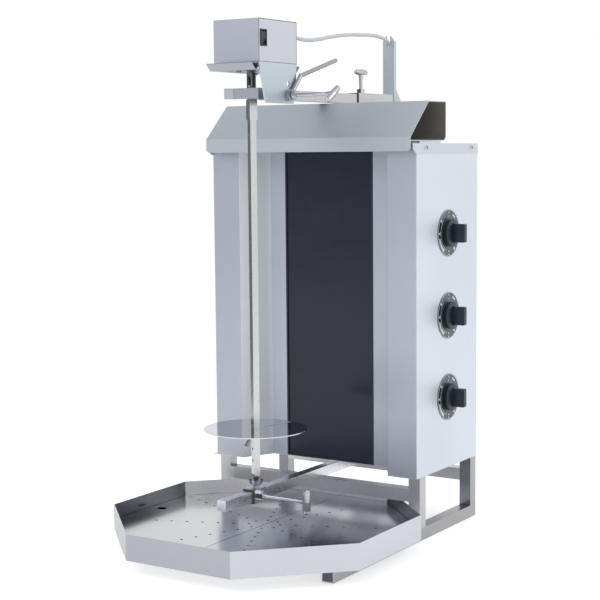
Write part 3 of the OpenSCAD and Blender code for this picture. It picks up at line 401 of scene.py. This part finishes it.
# Knob axes lie this far behind the wings' face
KNOB_Y = 108
# Parts of the printed dial as (inner radius, outer radius, from, to)
DIAL_BLACK = [(26, 36, -58, -128), (24.5, 27.5, -20, -160)]
DIAL_WHITE = [(36.6, 37.4, 0, 360), (27.6, 28.4, -40, -165), (31, 35, -50, -56), (30, 35, -88, -92),
              (30, 31, -84, -96), ((31.5, 30.5), (34.5, 35.2), -104, -150),
              (30, 33, 24, 42), (29, 34.5, 140, 148), (26, 28, -2, 2), (32, 34, -2.5, 2.5),
              (28, 30.5, 177, 183), (33, 35.5, 177.5, 182.5)]


def dial_shape(centre_z, x, parts):
    """Flat shapes on the right panel: each part is (r0, r1, from, to) with angles from the top towards the rear."""
    verts, faces = [], []
    for r0, r1, a0, a1 in parts:
        steps = max(2, int(abs(a1 - a0) / 6))
        base = len(verts)
        for i in range(steps + 1):
            t = i / steps
            a = math.radians(a0 + (a1 - a0) * t)
            inner = r0[0] + (r0[1] - r0[0]) * t if isinstance(r0, tuple) else r0
            outer = r1[0] + (r1[1] - r1[0]) * t if isinstance(r1, tuple) else r1
            for r in (inner, outer):
                verts.append(at(x, KNOB_Y + r * math.sin(a), centre_z + r * math.cos(a)))
        for i in range(steps):
            j = base + 2 * i
            faces.append((j, j + 2, j + 3, j + 1))
    return verts, faces


dial_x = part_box("knob_bezels")[1][0] * 1000
for label, knob in (("lower", "knob_lower"), ("middle", "knob_middle"), ("upper", "knob_upper")):
    low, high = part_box(knob)
    cz = (low[2] + high[2]) * 500
    verts, faces = dial_shape(cz, dial_x + 0.06, DIAL_BLACK)
    make("dial_black_" + label, verts, faces, M["print_black"], ROOT)
    verts, faces = dial_shape(cz, dial_x + 0.12, DIAL_WHITE)
    make("dial_white_" + label, verts, faces, M["print_white"], ROOT)

# Screws

PANEL_X = 192.5
FLANGE_T = 1.2
HEAD_H = 2.2
SCREW_YS = (30, 188)
SCREW_Z = 620
CROSS_TURN = 0.4
CROSS_HALF = 0.0021
CROSS_HALF_W = 0.0004
CROSS_LIFT = 0.00006
# Painted shade: flat black crosses on the screw heads stand for the shade in their cross recesses
for side in (-1, 1):
    for y in SCREW_YS:
        base = at(side * (PANEL_X + FLANGE_T + HEAD_H), y, SCREW_Z)
        for turn in (CROSS_TURN, CROSS_TURN + math.pi / 2):
            half = Vector((0, math.cos(turn), math.sin(turn))) * CROSS_HALF
            wide = Vector((0, -math.sin(turn), math.cos(turn))) * CROSS_HALF_W
            lift = Vector((side * CROSS_LIFT, 0, 0))
            quad = [base + lift - half - wide, base + lift + half - wide, base + lift + half + wide,
                    base + lift - half + wide]
            if side < 0:
                quad.reverse()
            make("screw_cross_painted_shade", quad, [(0, 1, 2, 3)], M["black"], ROOT)

# Seams of the motor housing's side: front, rear, bottom and top, as (y, z) of two corners
HOUSING_X = 40.5
SEAM_T = 0.05
for (y0, z0), (y1, z1) in (((-203.9, 748), (-202.9, 811)), ((-101.7, 748), (-101.1, 811)),
                           ((-203.9, 748), (-101.1, 748.7)), ((-203.9, 809.9), (-101.1, 810.9))):
    block("housing_seam", (HOUSING_X, y0, z0), (HOUSING_X + SEAM_T, y1, z1), M["seam"], "motor_head")

# Shadow line along the edge where the right wing's face ends, beside the splay
wing = NODES["right_wing"]
low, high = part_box("right_wing")
ends = [abs(v.co.x) for poly in wing.data.polygons if poly.normal.y < -0.99
        for v in (wing.data.vertices[i] for i in poly.vertices)
        if abs((wing.matrix_world @ v.co).y - low[1]) < 0.0005]
edge = min(ends) * 1000
block("wing_edge_shadow_line", (edge - 0.2, 0.05, low[2] * 1000 + 1), (edge + 0.5, 0.25, high[2] * 1000 - 1), M["seam"],
      ROOT)

# Painted highlight: a bright strip along the far side of the disc's slot
SLOT_TURN = math.radians(75)
SLOT_R = (16, 73)
HIGHLIGHT_W = (1.2, 2.4)
HIGHLIGHT_H = 0.0006
disc_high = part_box("carving_disc")[1][2] * 1000
along = Vector((math.cos(SLOT_TURN), math.sin(SLOT_TURN)))
across = Vector((-math.sin(SLOT_TURN), math.cos(SLOT_TURN)))
highlight_corners = []
for r, w in ((SLOT_R[0], HIGHLIGHT_W[0]), (SLOT_R[1], HIGHLIGHT_W[0]), (SLOT_R[1], HIGHLIGHT_W[1]), (SLOT_R[0], HIGHLIGHT_W[1])):
    p = along * r + across * w
    highlight_corners.append(at(p.x, p.y - SPIT_Y, disc_high))
for i in range(4):
    highlight_corners.append(highlight_corners[i] + Vector((0, 0, HIGHLIGHT_H)))
make("slot_painted_highlight", highlight_corners, [(3, 2, 1, 0), (4, 5, 6, 7), (0, 1, 5, 4), (1, 2, 6, 5), (2, 3, 7, 6), (3, 0, 4, 7)],
     M["edge"], "disc")

# Cable

ROUTE = [(-104, 795), (-92, 795), (-80, 795), (-66, 795), (-50, 794), (-35, 793), (-20, 792), (-5, 792), (10, 793),
         (25, 795), (40, 797), (55, 800), (70, 802), (90, 805), (110, 807), (130, 809), (150, 810), (170, 811),
         (190, 812), (210, 812), (228, 811), (242, 809), (251, 806.5), (257, 803.5), (261, 800), (263.5, 795),
         (264.5, 789), (264.5, 778), (264.5, 764), (264.5, 748), (264.5, 732), (264.5, 716), (264.5, 700),
         (264.5, 685)]


CABLE_D = 0.006
RIB_R = 0.00265
RIB_STEP = 0.9


def spline(points, step):
    """Catmull-Rom through the points, resampled at even steps."""
    pts = [points[0]] + list(points) + [points[-1]]
    dense = []
    for i in range(1, len(pts) - 2):
        p0, p1, p2, p3 = pts[i - 1], pts[i], pts[i + 1], pts[i + 2]
        for k in range(12):
            t = k / 12
            dense.append(tuple(0.5 * (2 * b + (c - a) * t + (2 * a - 5 * b + 4 * c - d) * t * t
                                      + (3 * b - a - 3 * c + d) * t ** 3)
                               for a, b, c, d in zip(p0, p1, p2, p3)))
    dense.append(points[-1])
    out, carry = [dense[0]], 0.0
    for a, b in zip(dense, dense[1:]):
        length = math.dist(a, b)
        while carry + length >= step:
            t = (step - carry) / length
            a = tuple(u + (v - u) * t for u, v in zip(a, b))
            out.append(a)
            length = math.dist(a, b)
            carry = 0.0
        carry += length
    return out


def sheath(name, line, mat, sides=14):
    """Ribbed sheath along a line of points."""
    verts, faces = [], []
    for i, p in enumerate(line):
        a, b = line[max(0, i - 1)], line[min(len(line) - 1, i + 1)]
        d = (b - a).normalized()
        u = Vector((1, 0, 0))
        v = d.cross(u).normalized()
        radius = CABLE_D / 2 if i % 3 else RIB_R
        for k in range(sides):
            t = 2 * math.pi * k / sides
            verts.append(p + (u * math.cos(t) + v * math.sin(t)) * radius)
    for i in range(len(line) - 1):
        for k in range(sides):
            m = (k + 1) % sides
            faces.append((i * sides + k, (i + 1) * sides + k, (i + 1) * sides + m, i * sides + m))
    faces.append(tuple(range(sides)))
    faces.append(tuple((len(line) - 1) * sides + k for k in range(sides - 1, -1, -1)))
    return make(name, verts, faces, mat, None, 60)


line = [at(0, y, z) for y, z in spline(ROUTE, RIB_STEP)]
# The cable is cut in two where it passes the wings' face: a front stretch between the head and the arm, a rear one
# between the arm and the body
split = next(i for i, p in enumerate(line) if p.y > at(0, 0, 0).y)
cable_front = sheath("cable_sheath_front", line[:split + 1], M["cable"])
cable_rear = sheath("cable_sheath_rear", line[split:], M["cable"])
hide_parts("motor_cable")
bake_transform(cable_front)
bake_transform(cable_rear)

# Stage

def stage_plane(name, corners, mat):
    obj = make(name, corners, [(0, 1, 2, 3)], mat, None)
    return obj


FLOOR_GLOW = 0.5
HALF_FLOOR = 12


def floor_material():
    """White floor that the camera and metal see as white, with a soft shadow left in it."""
    mat, tree, bsdf = new_material("white_floor")
    bsdf.inputs["Base Color"].default_value = (0.9, 0.9, 0.9, 1)
    bsdf.inputs["Roughness"].default_value = 0.9
    socket_set(bsdf, "Specular IOR Level", 0.0)
    path = tree.nodes.new("ShaderNodeLightPath")
    add = tree.nodes.new("ShaderNodeMath")
    add.operation = "MAXIMUM"
    tree.links.new(path.outputs["Is Camera Ray"], add.inputs[0])
    tree.links.new(path.outputs["Is Glossy Ray"], add.inputs[1])
    more = tree.nodes.new("ShaderNodeMath")
    more.operation = "MAXIMUM"
    tree.links.new(add.outputs[0], more.inputs[0])
    tree.links.new(path.outputs["Is Transmission Ray"], more.inputs[1])
    strength = tree.nodes.new("ShaderNodeMath")
    strength.operation = "MULTIPLY"
    strength.inputs[1].default_value = FLOOR_GLOW
    tree.links.new(more.outputs[0], strength.inputs[0])
    bsdf.inputs["Emission Color"].default_value = (1, 1, 1, 1)
    tree.links.new(strength.outputs[0], bsdf.inputs["Emission Strength"])
    return mat


def card_material(name, colour):
    mat = bpy.data.materials.new(name)
    mat.use_nodes = True
    tree = mat.node_tree
    tree.nodes.clear()
    out = tree.nodes.new("ShaderNodeOutputMaterial")
    emit = tree.nodes.new("ShaderNodeEmission")
    emit.inputs["Color"].default_value = (*colour, 1)
    tree.links.new(emit.outputs[0], out.inputs["Surface"])
    return mat


stage_plane("floor", [(x * HALF_FLOOR, y * HALF_FLOOR, -0.0006) for x, y in ((-1, -1), (1, -1), (1, 1), (-1, 1))],
            floor_material())

# Grey cards that only shiny surfaces see, in front on the left, at the left and overhead
for name, corners, colour in (
        ("grey_card_front", [(-5, -4.2, 0.0), (0.9, -4.2, 0.0), (0.9, -4.2, 4), (-5, -4.2, 4)], (0.56, 0.59, 0.66)),
        ("dark_card_left", [(-1.2, -0.75, 0.0), (-1.2, 0.5, 0.0), (-1.2, 0.5, 1.6), (-1.2, -0.75, 1.6)], (0.20, 0.20, 0.21)),
        ("grey_card_top", [(-5, -4.0, 3.6), (0.6, -4.0, 3.6), (0.6, 2.2, 3.6), (-5, 2.2, 3.6)], (0.60, 0.63, 0.66))):
    card = stage_plane(name, corners, card_material(name, colour))
    card.visible_camera = False
    card.visible_diffuse = False
    card.visible_shadow = False
    card.visible_transmission = False

world = bpy.data.worlds.new("studio")
bpy.context.scene.world = world
world.use_nodes = True
tree = world.node_tree
background = tree.nodes["Background"]
path = tree.nodes.new("ShaderNodeLightPath")
seen = tree.nodes.new("ShaderNodeMath")
seen.operation = "MAXIMUM"
tree.links.new(path.outputs["Is Camera Ray"], seen.inputs[0])
tree.links.new(path.outputs["Is Glossy Ray"], seen.inputs[1])
also = tree.nodes.new("ShaderNodeMath")
also.operation = "MAXIMUM"
tree.links.new(seen.outputs[0], also.inputs[0])
tree.links.new(path.outputs["Is Transmission Ray"], also.inputs[1])
level = tree.nodes.new("ShaderNodeMapRange")
level.inputs["To Min"].default_value = 0.62
level.inputs["To Max"].default_value = 1.0
tree.links.new(also.outputs[0], level.inputs["Value"])
background.inputs["Color"].default_value = (1, 1, 1, 1)
tree.links.new(level.outputs["Result"], background.inputs["Strength"])


def area_light(name, place, aim, size, power):
    data = bpy.data.lights.new(name, "AREA")
    data.shape = "RECTANGLE"
    data.size, data.size_y = size
    data.energy = power
    obj = bpy.data.objects.new(name, data)
    bpy.context.scene.collection.objects.link(obj)
    obj.location = place
    direction = Vector(aim) - Vector(place)
    obj.rotation_euler = direction.to_track_quat("-Z", "Y").to_euler()
    obj.visible_camera = False
    return obj


area_light("key", (-1.6, -2.4, 2.6), (0, 0, 0.4), (2.0, 2.0), 26)
area_light("rim", (2.6, 1.2, 1.8), (0, 0, 0.4), (1.6, 2.0), 16)

# Camera

FOCAL_PX = 1456.3
IMAGE_PX = 600
azimuth, pitch, roll = math.radians(32.62), math.radians(5.80), math.radians(-0.49)
ahead = Vector((-math.sin(azimuth) * math.cos(pitch), math.cos(azimuth) * math.cos(pitch), -math.sin(pitch)))
right = Vector((math.cos(azimuth), math.sin(azimuth), 0))
up = right.cross(ahead)
cam_x = right * math.cos(roll) + up * math.sin(roll)
cam_y = up * math.cos(roll) - right * math.sin(roll)
camera_data = bpy.data.cameras.new("camera")
camera = bpy.data.objects.new("camera", camera_data)
bpy.context.scene.collection.objects.link(camera)
rotation = Matrix((cam_x, cam_y, -ahead)).transposed().to_4x4()
camera.matrix_world = Matrix.Translation(at(1250.6, -1988.7, 615.1)) @ rotation
camera_data.sensor_width = 36
camera_data.lens = FOCAL_PX * camera_data.sensor_width / IMAGE_PX
camera_data.clip_end = 100
bpy.context.scene.camera = camera
bpy.context.scene.view_settings.view_transform = "Standard"
